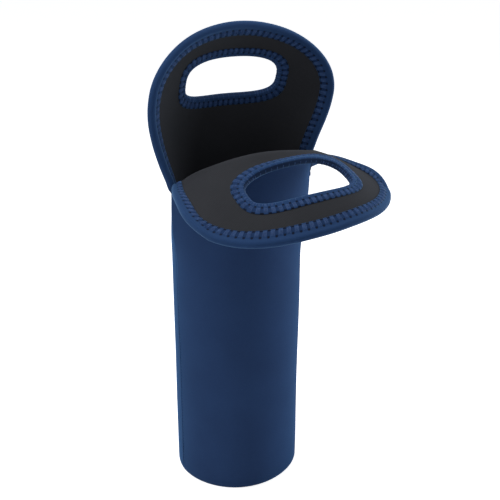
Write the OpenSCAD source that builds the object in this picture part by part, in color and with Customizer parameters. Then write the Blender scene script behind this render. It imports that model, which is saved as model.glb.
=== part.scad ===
// Neoprene bottle carrier: a round sleeve of two panels, whose upper ends run on above the
// side notches as two flaps, each with a hand slot. The front flap is folded outwards.
// Millimetres, +Z up, the front towards -Y, the origin at the centre of the underside.

/* [Sleeve] */
// Inside diameter of the round sleeve
pocket_d = 90; // [80:1:105]
// Height of the side notches, where the flaps begin
notch_h = 248; // [225:1:290]
// Height up to which the sleeve stays round
round_h = 180; // [150:1:200]
// Inside radius of the rounded bottom edge
heel_in_r = 1; // [0.5:0.5:4]

/* [Laminate] */
// Thickness of the outer knit
face_t = 0.5; // [0.3:0.1:1]
// Thickness of the foam core
foam_t = 3; // [2:0.25:4]
// Thickness of the lining knit
lining_t = 0.5; // [0.3:0.1:1]

/* [Mouth] */
// Radius of each panel's arc at the notches
mouth_r = 66; // [56:1:90]
// How far the side seams move forward on their way up to the notches
mouth_shift = 10; // [0:1:16]

/* [Flap pattern] */
// Length of a flap above the notches
flap_l = 121; // [112:1:145]
// How much each side of a flap grows wider than its panel
flap_flare = 10.4; // [2:0.2:16]
// Height above the notches of the widest place of a flap
flare_h = 66; // [60:1:80]
// Squareness of the rounded top of a flap, 2 being an ellipse
crown_n = 2.13; // [2:0.01:2.8]

/* [Hand slot] */
// Width of a hand slot
grip_w = 77; // [64:1:90]
// Height of a hand slot
grip_h = 32.5; // [24:0.5:36]
// Height of the slot's centre above the notches
grip_up = 73; // [68:1:80]
// Squareness of the slot's ends
grip_n = 3; // [2:0.1:4]

/* [Bindings] */
// Width of the binding on the rim of a flap
rim_w = 10.5; // [8:0.5:12]
// Width of the rolled part of the rim binding
roll_w = 5; // [4:0.5:6]
// How far the roll stands above the flat of the binding
roll_t = 0.6; // [0.2:0.1:1]
// Width of the binding round a hand slot
band_w = 8.5; // [7:0.5:9]
// Thickness of the binding knit
bind_t = 0.7; // [0.4:0.1:1]

/* [Stitching] */
// Width of the cover stitches on the bindings
stitch_w = 4.5; // [2:0.25:5]
// Width of the flat stitches along the side seams and round the base
seam_w = 3; // [2:0.25:4]
// Thickness of the sewing thread
thread_t = 0.4; // [0.2:0.05:0.6]

/* [Front fold] */
// Height of the front panel above the notches before it bends outwards
crest_rise = 15.4; // [8:0.2:18]
// Radius of the fold in the middle
crest_r = 14.3; // [10:0.1:16]
// Radius of the fold at the side notches
crest_side_r = 6; // [5:0.1:8]
// How far the side edges fan out, in degrees
fan_deg = 5.6; // [0:0.1:10]
// How far the middle of the flap points below the horizontal, in degrees
droop_deg = 13.3; // [0:0.1:20]
// How far the side edges point above the horizontal, in degrees
lift_deg = 7.1; // [0:0.1:12]
// How much the free end curls down over the length of the flap, in degrees
curl_deg = 37; // [0:1:45]
// Sideways twist of the folded flap, in degrees
twist_deg = 4.9; // [0:0.1:6]
// Distance over which the twist sets in
twist_run = 80; // [60:1:100]

/* [Rear flap] */
// How far the top of the rear flap leans forward, in degrees
lean_deg = 39; // [10:1:45]
// Radius across the top of the rear flap
crown_r = 150; // [110:1:220]

/* [Hidden] */

// Sides of the carrier
REAR = 1;
FRONT = -1;

// Colours of the knits, the foam and the thread
navy = [0.14, 0.2, 0.34];
binding_navy = [0.18, 0.27, 0.44];
thread_navy = [0.1, 0.16, 0.32];
lining_grey = [0.22, 0.23, 0.25];
foam_black = [0.1, 0.1, 0.11];

// Clearance where a binding closes over the laminate
seat_gap = 0.3;
// Gap between a fold and its flap
fold_gap = 0.7;
// How much higher the free part starts at the inner edge of its binding
root_lift = 0.8;
// How far each rim stands back from the side seam at the notches, and over what height
notch_in = 0.5;
notch_run = 8;
// How much fuller the rim binding is at the notches
notch_full_share = 0.1;
// Gap between the base and the rounded edge that it is sewn to
seam_gap = 0.1;
// Strip of plain laminate between the fold and the band of the slot
slot_margin = 2.5;
// Length over which a flap's thickness turns from the sleeve's radius to its own surface
settle_l = 8;
// Distance from the axis at which the twist of the front flap begins
twist_from = 8;
// Step for the slope of a surface
probe = 0.2;
// Size of the box that cuts the sleeve in halves
reach = 400;
// How much faster the rear flap flattens low down
flatten_share = 0.73;
// How far along the flap's width the fanning stays small
fan_power = 4;
// How far the corners of the collar's facets stand outside the round sleeve, as a share
swell_share = 0.002;
// Least radius of the fold, as a share of the middle one
tight_share = 0.1;

// Laminate and radii
wall = face_t + foam_t + lining_t;
pocket_r = pocket_d / 2;
mid_r = pocket_r + wall / 2;
heel_centre_r = pocket_r - heel_in_r;
heel_h = heel_in_r + wall;
half_w = mid_r * PI / 2;
mouth_turn = turn_of(half_w, mouth_r);
collar_h = notch_h - round_h;
fold_l = grip_up - grip_h / 2 - band_w - slot_margin;
half_t = wall / 2;
skin_h = half_t + seat_gap;
cover_h = skin_h + bind_t;

// Depths of the three layers, from the middle of the wall outwards
FACE = [half_t - face_t, half_t];
FOAM = [lining_t - half_t, half_t - face_t];
LINING = [-half_t, lining_t - half_t];

// Counts of the facets
span_steps = 5;
collar_rows = 5;
front_fold_rows = 9;
rear_fold_rows = 4;
side_steps = 2;
crown_steps = 18;
round_fn = 128;

function turn_of(length, radius) = length / radius * 180 / PI;
function lerp(a, b, u) = a + (b - a) * u;
function clamp(u) = min(max(u, 0), 1);
function ease(u) = clamp(u) * clamp(u) * (3 - 2 * clamp(u));
function sgn_pow(v, n) = sign(v) * pow(abs(v), n);

// Half the width of the flat pattern at height t above the notches
function width_at(t) =
  t < 0 ? half_w :
  half_w - notch_in * (1 - ease(t / notch_run)) + flap_flare * (1 - pow(1 - min(t / flare_h, 1), 2));

// Middle of the wall between the round part and the notches, t being negative
function collar_mid(side, s, t) =
  let (
    u = 1 + t / collar_h,
    radius = 1 / lerp(1 / mid_r, 1 / mouth_r, ease(u)),
    swell = 1 + swell_share * (1 - ease(u)),
    seam_y = -mouth_shift * ease(u),
    bow = cos(turn_of(s, radius)) - cos(turn_of(half_w, radius))
  )
  [
    swell * radius * sin(turn_of(s, radius)),
    seam_y + swell * side * radius * bow,
    notch_h + t
  ];

// Middle of the rear flap: it flattens as it rises and leans forward
function rear_mid(s, t) =
  let (
    u = t / flap_l,
    radius = 1 / lerp(1 / mouth_r, 1 / crown_r, pow(u, flatten_share)),
    lean = lean_deg * u,
    lean_r = flap_l / (lean_deg * PI / 180),
    root_y = mouth_r * (1 - cos(mouth_turn)) - mouth_shift,
    sag = radius * (1 - cos(turn_of(s, radius)))
  )
  [
    radius * sin(turn_of(s, radius)),
    root_y - lean_r * (1 - cos(lean)) - sag * cos(lean),
    notch_h + lean_r * sin(lean) - sag * sin(lean)
  ];

// Middle of the front flap: each upright line of the panel rises, bends out and runs on
function front_mid(s, t) =
  let (
    e = pow(s / half_w, 2),
    start = turn_of(s, mouth_r),
    rise = crest_rise * max(1 - e, 0),
    radius = max(lerp(crest_r, crest_side_r, e), crest_r * tight_share),
    dip = lerp(droop_deg, -lift_deg, e),
    over = max(t - rise, 0),
    bend = min(turn_of(over, radius), 90 + dip),
    rest = max(over - radius * (90 + dip) * PI / 180, 0),
    slope = dip + curl_deg * rest / flap_l / 2,
    out = radius * (1 - cos(bend)) + rest * cos(slope),
    up = min(t, rise) + radius * sin(bend) - rest * sin(slope),
    fan = fan_deg * sgn_pow(s / half_w, fan_power),
    x = mouth_r * sin(start) + out * sin(fan),
    y = mouth_r * (cos(mouth_turn) - cos(start)) - mouth_shift - out * cos(fan),
    twist = tan(twist_deg) * ease((-y - twist_from) / twist_run)
  )
  [x, y, notch_h + up + x * twist];

function wall_mid(side, s, t) =
  t < 0 ? collar_mid(side, s, t) : side == REAR ? rear_mid(s, t) : front_mid(s, t);

// Outward direction through the thickness
function round_dir(side, s) =
  [sin(turn_of(s, mid_r)), side * cos(turn_of(s, mid_r)), 0];

function sheet_dir(side, s, t) =
  let (
    along_s = wall_mid(side, s + probe, t) - wall_mid(side, s - probe, t),
    along_t = wall_mid(side, s, t + probe) - wall_mid(side, s, max(t - probe, 0)),
    n = cross(along_s, along_t)
  )
  -side * n / norm(n);

function out_dir(side, s, t) =
  t <= 0 ? round_dir(side, s) :
  let (v = lerp(round_dir(side, s), sheet_dir(side, s, t), ease(t / settle_l)))
  v / norm(v);

// Point of the laminate at s across, t up and depth out from the middle of the wall
function wall_point(side, s, t, depth) =
  wall_mid(side, s, t) + depth * out_dir(side, s, t);

// Places across a panel from left to right, the outer ones under the edges of the rim binding
function half_row(w, inset) =
  concat([w - inset, w - roll_w], [for (i = [0 : span_steps - 1]) (w - rim_w) * (1 - i / span_steps)]);

function across(w, inset) =
  let (half = half_row(w, inset))
  concat([for (s = half) -s], [0], [for (i = [len(half) - 1 : -1 : 0]) half[i]]);

// Grid over a strip of the panel
function strip(side, heights, inset, depth) =
  [for (t = heights) [for (s = across(width_at(t), inset)) wall_point(side, s, t, depth)]];

collar_heights = [for (i = [0 : collar_rows]) -collar_h * (1 - i / collar_rows)];

function fold_heights(side) =
  let (rows = side == FRONT ? front_fold_rows : rear_fold_rows)
  [for (i = [0 : rows]) fold_l * pow(i / rows, 1.5)];

// Side edge of a flap in the flat pattern, from height t0 up to the widest place
function side_edge(t0, inset, steps) =
  [for (i = [0 : steps - 1])
    let (t = lerp(t0, flare_h, i / steps)) [width_at(t) - inset, t]];

// Rounded top of a flap in the flat pattern, from right to left
function crown_edge(inset) =
  [for (i = [0 : crown_steps])
    let (a = 180 * i / crown_steps, p = 2 / crown_n)
    [
      (half_w + flap_flare - inset) * sgn_pow(cos(a), p),
      flare_h + (flap_l - flare_h - inset) * sgn_pow(sin(a), p)
    ]];

function mirrored(points) =
  [for (i = [len(points) - 1 : -1 : 0]) [-points[i][0], points[i][1]]];

// Height at which the free part of a flap starts, a little higher for the rings further in
function root_t(inset) = fold_l + fold_gap + root_lift * (inset - bind_t) / (rim_w - bind_t);

// Rim of the free part of a flap, from the fold on the right to the fold on the left
function rim(inset) =
  let (edge = side_edge(root_t(inset), inset, side_steps))
  concat(edge, crown_edge(inset), mirrored(edge));

// Lower edge of the free part, from left to right, without its corners
function root(inset) =
  let (
    t = root_t(inset),
    row = across(width_at(t), bind_t),
    share = (width_at(t) - inset) / (width_at(t) - bind_t)
  )
  [for (i = [1 : len(row) - 2]) [share * row[i], t]];

// Whole outline of the free part
function outline(inset) = concat(rim(inset), root(inset));

// Hand slot in the flat pattern, grown outwards, at the direction of each given point
function slot(points, grow) =
  let (a = grip_w / 2 + grow, b = grip_h / 2 + grow)
  [for (p = points)
    let (
      d = [p[0], p[1] - grip_up],
      r = pow(pow(abs(d[0] / a), grip_n) + pow(abs(d[1] / b), grip_n), -1 / grip_n)
    )
    [r * d[0], grip_up + r * d[1]]];

// Points of the pattern laid on the flap
function laid(side, points, depth) =
  [for (p = points) wall_point(side, p[0], p[1], depth)];

function swapped(grid) =
  [for (j = [0 : len(grid[0]) - 1]) [for (row = grid) row[j]]];

// Halves of a cross-section that runs round an edge, as ranges of its sides. At the rear they
// take in the side across the edge, where the laminate's own edge is split that way.
function across_edge(side) = side == REAR ? 1 : 0;
function way_out(section, side) = [0, len(section) / 2 - 1 + across_edge(side)];
function way_back(section, side) = [len(section) / 2 - across_edge(side), len(section)];

// Closed solid between two grids of points, the first on the outer side. The facets of the
// columns in the range flip are split along their other diagonal, to lie on what they cover.
module slab(outer, inner, closed = false, flip = [0, 0]) {
  rows = len(outer);
  n = len(outer[0]);
  last = closed ? rows - 1 : rows - 2;
  points = concat([for (row = outer) each row], [for (row = inner) each row]);
  function at(i, j) = (i % rows) * n + j;
  function under(i, j) = rows * n + at(i, j);
  function quad(a, b, c, d) = [[a, b, c], [a, c, d]];
  function cell(j, a, b, c, d) = j >= flip[0] && j < flip[1] ? quad(b, c, d, a) : quad(a, b, c, d);
  faces = concat(
    [for (i = [0 : last], j = [0 : n - 2])
      each cell(j, at(i, j), at(i + 1, j), at(i + 1, j + 1), at(i, j + 1))],
    [for (i = [0 : last], j = [0 : n - 2])
      each cell(j, under(i, j), under(i, j + 1), under(i + 1, j + 1), under(i + 1, j))],
    [for (i = [0 : last])
      each quad(at(i, 0), under(i, 0), under(i + 1, 0), at(i + 1, 0))],
    [for (i = [0 : last])
      each quad(at(i, n - 1), at(i + 1, n - 1), under(i + 1, n - 1), under(i, n - 1))],
    closed ? [] : [for (j = [0 : n - 2])
      each quad(at(0, j), at(0, j + 1), under(0, j + 1), under(0, j))],
    closed ? [] : [for (j = [0 : n - 2])
      each quad(at(rows - 1, j), under(rows - 1, j), under(rows - 1, j + 1), at(rows - 1, j + 1))]
  );
  polyhedron(points, faces);
}

// The same solid on either side of the carrier, always with its faces turned out
module sheet_slab(side, outer, inner, closed = false, flip = [0, 0]) {
  if (side == FRONT)
    slab(outer, inner, closed, flip);
  else
    slab(inner, outer, closed, flip);
}

// Upright profile of one layer of the sleeve, with its rounded bottom edge
module layer_profile(depths) {
  inner_r = mid_r + depths[0];
  outer_r = mid_r + depths[1];
  translate([inner_r, heel_h])
    square([outer_r - inner_r, round_h - heel_h]);
  translate([heel_centre_r, heel_h])
    intersection() {
      difference() {
        circle(r = outer_r - heel_centre_r, $fn = round_fn);
        circle(r = inner_r - heel_centre_r, $fn = round_fn);
      }
      translate([0, -heel_h])
        square([heel_h, heel_h]);
    }
}

// One layer of a panel: the round sleeve, then the collar that opens to the mouth
module panel_layer(side, depths) {
  intersection() {
    rotate_extrude($fn = round_fn)
      layer_profile(depths);
    translate([-reach / 2, side == REAR ? 0 : -reach, 0])
      cube([reach, reach, reach]);
  }
  sheet_slab(
    side,
    strip(side, collar_heights, 0, depths[1]),
    strip(side, collar_heights, 0, depths[0])
  );
}

// One layer of the strip that bends when a flap is moved
module fold_layer(side, depths) {
  sheet_slab(
    side,
    strip(side, fold_heights(side), bind_t, depths[1]),
    strip(side, fold_heights(side), bind_t, depths[0])
  );
}

// One layer of the free part of a flap, as rings from the rim in to the hand slot
module flap_layer(side, depths) {
  hem = outline(rim_w);
  rings = [outline(bind_t), outline(roll_w), hem, slot(hem, band_w), slot(hem, bind_t)];
  outer = swapped([for (ring = rings) laid(side, ring, depths[1])]);
  inner = swapped([for (ring = rings) laid(side, ring, depths[0])]);
  sheet_slab(side, outer, inner, true);
}

// Binding folded over the rim: pairs of distance from the rim and depth
rim_cover = [
  [rim_w, cover_h],
  [roll_w, cover_h],
  [roll_w / 2, cover_h + roll_t],
  [0, skin_h],
  [0, -skin_h],
  [roll_w / 2, -cover_h - roll_t],
  [roll_w, -cover_h],
  [rim_w, -cover_h]
];
rim_core = [
  [rim_w, skin_h],
  [roll_w, skin_h],
  [2 * bind_t, skin_h],
  [bind_t - seat_gap, skin_h],
  [bind_t - seat_gap, -skin_h],
  [2 * bind_t, -skin_h],
  [roll_w, -skin_h],
  [rim_w, -skin_h]
];

// Binding folded over the edge of the slot
band_cover = [
  [band_w, cover_h],
  [2 * bind_t, cover_h],
  [0, skin_h],
  [0, -skin_h],
  [2 * bind_t, -cover_h],
  [band_w, -cover_h]
];
band_core = [
  [band_w, skin_h],
  [2 * bind_t, skin_h],
  [bind_t - seat_gap, skin_h],
  [bind_t - seat_gap, -skin_h],
  [2 * bind_t, -skin_h],
  [band_w, -skin_h]
];

function notch_full(t) = 1 + notch_full_share * (1 - ease(t / notch_run));

module rim_binding(side) {
  sheet_slab(
    side,
    swapped([for (p = rim_core) laid(side, rim(p[0]), p[1])]),
    swapped([for (p = rim_cover) laid(side, rim(p[0]), p[1])]),
    flip = way_out(rim_core, side)
  );
}

module fold_binding(side) {
  heights = fold_heights(side);
  for (hand = [-1, 1]) {
    core = [for (t = heights) [for (p = rim_core)
      wall_point(side, hand * (width_at(t) - p[0]), t, p[1] * notch_full(t))]];
    cover = [for (t = heights) [for (p = rim_cover)
      wall_point(side, hand * (width_at(t) - p[0]), t, p[1] * notch_full(t))]];
    if (hand == 1)
      sheet_slab(side, core, cover, flip = way_back(rim_core, side));
    else
      sheet_slab(side, cover, core, flip = way_out(rim_core, side));
  }
}

module grip_binding(side) {
  edge = outline(rim_w);
  sheet_slab(
    side,
    swapped([for (p = band_cover) laid(side, slot(edge, p[0]), p[1])]),
    swapped([for (p = band_core) laid(side, slot(edge, p[0]), p[1])]),
    true,
    way_back(band_core, side)
  );
}

// Rows of cover stitches on both faces, lying on the binding
module rim_stitching(side) {
  for (face = [-1, 1]) {
    low = face * (cover_h + seat_gap);
    high = low + face * thread_t;
    from = roll_w + seat_gap;
    near = [laid(side, rim(from + stitch_w), low), laid(side, rim(from), low)];
    far = [laid(side, rim(from + stitch_w), high), laid(side, rim(from), high)];
    if (face == 1)
      sheet_slab(side, swapped(near), swapped(far), flip = [0, 1]);
    else
      sheet_slab(side, swapped(far), swapped(near), flip = [0, 1]);
  }
}

module grip_stitching(side) {
  edge = outline(rim_w);
  for (face = [-1, 1]) {
    low = face * (cover_h + seat_gap);
    high = low + face * thread_t;
    from = band_w - stitch_w - bind_t;
    near = [laid(side, slot(edge, from), low), laid(side, slot(edge, from + stitch_w), low)];
    far = [laid(side, slot(edge, from), high), laid(side, slot(edge, from + stitch_w), high)];
    if (face == 1)
      sheet_slab(side, swapped(near), swapped(far), true, [0, 1]);
    else
      sheet_slab(side, swapped(far), swapped(near), true, [0, 1]);
  }
}

// Flat row of stitches down a side seam, over both panels
module side_seam(hand) {
  heights = concat([heel_h + seam_w - notch_h], collar_heights);
  reach_s = half_w - seam_w / 2;
  function row(t, depth) = [
    wall_point(FRONT, hand * reach_s, t, depth),
    wall_point(FRONT, hand * half_w, t, depth),
    wall_point(REAR, hand * reach_s, t, depth)
  ];
  function seam_heights(t) = t < -collar_h ? -collar_h : t;
  function dropped(t, depth) =
    let (fall = [0, 0, t - seam_heights(t)]) [for (p = row(seam_heights(t), depth)) p + fall];
  far = [for (t = heights) dropped(t, half_t + seat_gap + thread_t)];
  near = [for (t = heights) dropped(t, half_t + seat_gap)];
  if (hand == 1)
    slab(far, near);
  else
    slab(near, far);
}

// One layer of the round base, between two heights
module base_layer(low, high) {
  translate([0, 0, low])
    cylinder(r = heel_centre_r - seam_gap, h = high - low, $fn = round_fn);
}

// Front panel of the sleeve
module front_panel_face() { color(navy) panel_layer(FRONT, FACE); }
module front_panel_foam() { color(foam_black) panel_layer(FRONT, FOAM); }
module front_panel_lining() { color(lining_grey) panel_layer(FRONT, LINING); }

// Rear panel of the sleeve
module rear_panel_face() { color(navy) panel_layer(REAR, FACE); }
module rear_panel_foam() { color(foam_black) panel_layer(REAR, FOAM); }
module rear_panel_lining() { color(lining_grey) panel_layer(REAR, LINING); }

// Base, and the seam allowance sewn down round it on the inside
module base_face() { color(navy) base_layer(0, face_t); }
module base_foam() { color(foam_black) base_layer(face_t, face_t + foam_t); }
module base_lining() { color(lining_grey) base_layer(face_t + foam_t, wall); }
module base_seam() {
  color(thread_navy)
    rotate_extrude($fn = round_fn)
      translate([heel_centre_r - seam_gap - seam_w, wall])
        square([seam_w, thread_t]);
}

// Side seams
module left_side_seam() { color(thread_navy) side_seam(-1); }
module right_side_seam() { color(thread_navy) side_seam(1); }

// Strips that bend with the flaps
module front_fold_face() { color(navy) fold_layer(FRONT, FACE); }
module front_fold_foam() { color(foam_black) fold_layer(FRONT, FOAM); }
module front_fold_lining() { color(lining_grey) fold_layer(FRONT, LINING); }
module front_fold_binding() { color(binding_navy) fold_binding(FRONT); }
module rear_fold_face() { color(navy) fold_layer(REAR, FACE); }
module rear_fold_foam() { color(foam_black) fold_layer(REAR, FOAM); }
module rear_fold_lining() { color(lining_grey) fold_layer(REAR, LINING); }
module rear_fold_binding() { color(binding_navy) fold_binding(REAR); }

// Front flap, folded outwards
module front_flap_face() { color(navy) flap_layer(FRONT, FACE); }
module front_flap_foam() { color(foam_black) flap_layer(FRONT, FOAM); }
module front_flap_lining() { color(lining_grey) flap_layer(FRONT, LINING); }
module front_rim_binding() { color(binding_navy) rim_binding(FRONT); }
module front_rim_stitching() { color(thread_navy) rim_stitching(FRONT); }
module front_grip_binding() { color(binding_navy) grip_binding(FRONT); }
module front_grip_stitching() { color(thread_navy) grip_stitching(FRONT); }

// Rear flap, standing up
module rear_flap_face() { color(navy) flap_layer(REAR, FACE); }
module rear_flap_foam() { color(foam_black) flap_layer(REAR, FOAM); }
module rear_flap_lining() { color(lining_grey) flap_layer(REAR, LINING); }
module rear_rim_binding() { color(binding_navy) rim_binding(REAR); }
module rear_rim_stitching() { color(thread_navy) rim_stitching(REAR); }
module rear_grip_binding() { color(binding_navy) grip_binding(REAR); }
module rear_grip_stitching() { color(thread_navy) grip_stitching(REAR); }

front_panel_face();
front_panel_foam();
front_panel_lining();
rear_panel_face();
rear_panel_foam();
rear_panel_lining();
base_face();
base_foam();
base_lining();
base_seam();
left_side_seam();
right_side_seam();
front_fold_face();
front_fold_foam();
front_fold_lining();
front_fold_binding();
rear_fold_face();
rear_fold_foam();
rear_fold_lining();
rear_fold_binding();
front_flap_face();
front_flap_foam();
front_flap_lining();
front_rim_binding();
front_rim_stitching();
front_grip_binding();
front_grip_stitching();
rear_flap_face();
rear_flap_foam();
rear_flap_lining();
rear_rim_binding();
rear_rim_stitching();
rear_grip_binding();
rear_grip_stitching();
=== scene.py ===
import math

import bpy
import numpy as np
from mathutils import Matrix, Vector


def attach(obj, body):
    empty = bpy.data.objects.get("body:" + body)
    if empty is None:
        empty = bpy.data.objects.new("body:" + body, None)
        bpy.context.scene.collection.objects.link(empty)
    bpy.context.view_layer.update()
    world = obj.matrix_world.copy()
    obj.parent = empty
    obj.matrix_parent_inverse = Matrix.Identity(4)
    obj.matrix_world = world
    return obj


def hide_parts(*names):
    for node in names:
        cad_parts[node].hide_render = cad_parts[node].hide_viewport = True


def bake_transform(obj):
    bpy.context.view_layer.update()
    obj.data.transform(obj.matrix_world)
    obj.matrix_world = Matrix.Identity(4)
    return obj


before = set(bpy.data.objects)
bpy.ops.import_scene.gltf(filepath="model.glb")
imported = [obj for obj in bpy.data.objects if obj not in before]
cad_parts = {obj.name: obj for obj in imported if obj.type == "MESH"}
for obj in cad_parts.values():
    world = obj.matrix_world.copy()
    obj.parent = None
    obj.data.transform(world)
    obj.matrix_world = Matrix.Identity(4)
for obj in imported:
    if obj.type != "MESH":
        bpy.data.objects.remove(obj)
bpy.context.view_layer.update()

PI = math.pi
REAR, FRONT = 1, -1
LEFT, RIGHT = -1, 1
SIDE_NAME = {REAR: "rear", FRONT: "front"}
HAND_NAME = {LEFT: "left", RIGHT: "right"}
MM_PER_M = 1000

# Sizes of the part's source, in millimetres and degrees
POCKET_D, NOTCH_H, ROUND_H, HEEL_IN_R = 90.0, 248.0, 180.0, 1.0
WALL, FACE_T, LINING_T = 4.0, 0.5, 0.5
MOUTH_R, MOUTH_SHIFT = 66.0, 10.0
FLAP_L, FLAP_FLARE, FLARE_H, CROWN_N = 121.0, 10.4, 66.0, 2.13
GRIP_W, GRIP_H, GRIP_UP, GRIP_N = 77.0, 32.5, 73.0, 3.0
RIM_W, ROLL_W, BAND_W, BIND_T = 10.5, 5.0, 8.5, 0.7
NOTCH_IN, NOTCH_RUN, SLOT_MARGIN = 0.5, 8.0, 2.5
LEAN, CROWN_R, FLATTEN_SHARE, FAN_POWER = 39.0, 150.0, 0.73, 4
# Height over which a flap's thickness turns to its own surface, and the step for the slope of a surface
SETTLE_L, PROBE = 8.0, 0.2

POCKET_R = POCKET_D / 2
MID_R = POCKET_R + WALL / 2
HEEL_C = POCKET_R - HEEL_IN_R
HEEL_H = HEEL_IN_R + WALL
HALF_W = MID_R * PI / 2
HALF_T = WALL / 2
COLLAR_H = NOTCH_H - ROUND_H
MOUTH_TURN = HALF_W / MOUTH_R
FOLD_L = GRIP_UP - GRIP_H / 2 - BAND_W - SLOT_MARGIN

# How far the notches lie further in than cut, full at the edges of the wall and none over its middle
LEFT_IN, RIGHT_IN = 4.5, 2.8
SHIFT_FROM, SHIFT_RUN = 25.0, 49.0
# Heights over which these shifts fade down the sleeve and up the front flap
LEFT_DOWN, RIGHT_DOWN, LEFT_POWER, FRONT_UP = 62.0, 45.0, 1.5, 45.0
# Swell of the sleeve's sides: how far, from what height above the floor and over what height
SWELL = {LEFT: (0.5, 90.0, 60.0), RIGHT: (2.3, 70.0, 90.0)}
SWELL_END, SWELL_FADE = 188.0, 40.0
# How far the right side draws in at the foot
FOOT_IN, FOOT_RUN = 0.9, 30.0
# Rear flap: its left edge stays in, the right one comes back out, and both draw in above the notches
REAR_LEFT_IN, REAR_LEFT_RUN = 1.9, 40.0
REAR_TOP_IN, REAR_TOP_FROM, REAR_TOP_RUN = 1.1, 55.0, 25.0
REAR_RIGHT_FROM, REAR_RIGHT_RUN = 30.0, 30.0
NECK_RUN = 12.0
NECK = {LEFT: (0.9, 28.0, 25.0), RIGHT: (2.1, 16.0, 30.0)}
# How far the top of the rear flap lies lower than cut, and how much more to the right
TOP_IN, TOP_FROM, TOP_RUN = 1.2, 85.0, 36.0
TOP_RIGHT_IN, TOP_RIGHT_FROM, TOP_RIGHT_RUN = 0.9, -10.0, 40.0
# How far the soft corners at the notches hang, from where across, and how far down and up the wall
NOTCH_SAG, SAG_FROM, SAG_RUN, SAG_DOWN = 6.0, 38.0, 36.0, 70.0
SAG_UP = {FRONT: 26.0, REAR: 60.0}

# Lie of the front flap, within a few millimetres of the part's own form. The values down to TWIST_FROM and
# the depths of the first two dips were fitted by least squares to points along the photograph's outline.
# The others, TURN_RUN and BEND_LEAST_SHARE too, were chosen by comparing renders with it
RISE, RISE_POWER, RISE_SKEW = 13.76, 1.096, 0.162
BEND_R, BEND_SIDE_R, BEND_SKEW, BEND_LEAST_SHARE = 16.25, 5.38, -0.037, 0.1
DROOP, LIFT, DROOP_POWER, DROOP_SKEW = 13.72, 7.45, 0.832, -0.709
FAN, TURN, TURN_RUN, CURL = 5.89, -0.076, 60.0, 41.48
TWIST, TWIST_RUN, TWIST_FROM = 4.013, 109.6, -11.61
# Shift of the slot along the flap, more to the right, with its spread across and along
SLOT_SHIFT, SLOT_SKEW, SLOT_WIDE, SLOT_LONG = 1.5, 0.1, 45.0, 26.0
# Dent in front of the slot: its depth, its place along the flap, its spread across and along
DENT, DENT_AT, DENT_WIDE, DENT_LONG = 2.8, 47.0, 27.0, 7.0
# Dips over the crest as (depth, place across, spread), and the heights over which they come and go
DIPS = ((5.595, 24, 27), (1.654, -76, 16), (-2.2, 76, 14), (1.2, -50, 18))
DIP_RUN, DIP_END, DIP_FADE = 8.0, 24.0, 34.0


def rad(degrees):
    return degrees * PI / 180


def lerp(a, b, share):
    return a + (b - a) * share


def ease(share):
    """Smooth step from 0 to 1."""
    share = np.clip(share, 0, 1)
    return share * share * (3 - 2 * share)


def rise_fall(value, start, run, end, fade):
    """Smooth step up from start over run, and down again from end over fade."""
    return ease((value - start) / run) * (1 - ease((value - end) / fade))


def hump(s, t, at, wide, long):
    """Smooth hump of height 1 in the middle of the wall, at a place along it."""
    return np.exp(-((t - at) / long) ** 2 - (s / wide) ** 2)


def side_share(s):
    """0 over the middle of the wall, 1 at its edge on the side that s points to."""
    return ease((s - SHIFT_FROM) / SHIFT_RUN)


# Flat pattern: s runs across the wall, t up from the notches
def width_at(t):
    """Half the width of a panel at t."""
    t = np.asarray(t, float)
    flare = FLAP_FLARE * (1 - (1 - np.clip(t / FLARE_H, 0, 1)) ** 2)
    grown = HALF_W - NOTCH_IN * (1 - ease(t / NOTCH_RUN)) + flare
    return np.where(t < 0, HALF_W, grown)


def slot_points(dx, dy, grow):
    """Hand slot, grown outwards, in the directions (dx, dy)."""
    a, b = GRIP_W / 2 + grow, GRIP_H / 2 + grow
    reach = (np.abs(dx / a) ** GRIP_N + np.abs(dy / b) ** GRIP_N) ** (-1 / GRIP_N)
    return reach * dx, GRIP_UP + reach * dy


def rim_curve(inset, heights, steps):
    """Rim of a flap, from the right notch over the top to the left one."""
    turn = np.linspace(0, PI, steps + 1)[1:-1]
    power = 2 / CROWN_N
    side_s = width_at(heights) - inset
    top_s = (HALF_W + FLAP_FLARE - inset) * np.sign(np.cos(turn)) * np.abs(np.cos(turn)) ** power
    top_t = FLARE_H + (FLAP_L - FLARE_H - inset) * np.sin(turn) ** power
    return np.concatenate([side_s, top_s, -side_s[::-1]]), np.concatenate([heights, top_t, heights[::-1]])


# From the flat pattern to the wall's place
def collar_mid(side, s, t):
    """Middle of the wall between the round sleeve and the lens-shaped mouth."""
    share = ease(1 + t / COLLAR_H)
    r = 1 / lerp(1 / MID_R, 1 / MOUTH_R, share)
    bow = np.cos(s / r) - np.cos(HALF_W / r)
    return np.stack([r * np.sin(s / r), -MOUTH_SHIFT * share + side * r * bow, NOTCH_H + t + 0 * s], -1)


def rear_mid(s, t):
    """Middle of the rear flap, which leans in and flattens towards its top."""
    lowered = TOP_IN + TOP_RIGHT_IN * ease((s - TOP_RIGHT_FROM) / TOP_RIGHT_RUN)
    t = t - lowered * ease((t - TOP_FROM) / TOP_RUN)
    share = np.clip(t / FLAP_L, 0, None)
    r = 1 / lerp(1 / MOUTH_R, 1 / CROWN_R, share ** FLATTEN_SHARE)
    lean = rad(LEAN) * share
    lean_r = FLAP_L / rad(LEAN)
    root_y = MOUTH_R * (1 - math.cos(MOUTH_TURN)) - MOUTH_SHIFT
    bow = r * (1 - np.cos(s / r))
    y = root_y - lean_r * (1 - np.cos(lean)) - bow * np.cos(lean)
    z = NOTCH_H + lean_r * np.sin(lean) - bow * np.sin(lean)
    return np.stack([r * np.sin(s / r), y, z], -1)


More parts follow.
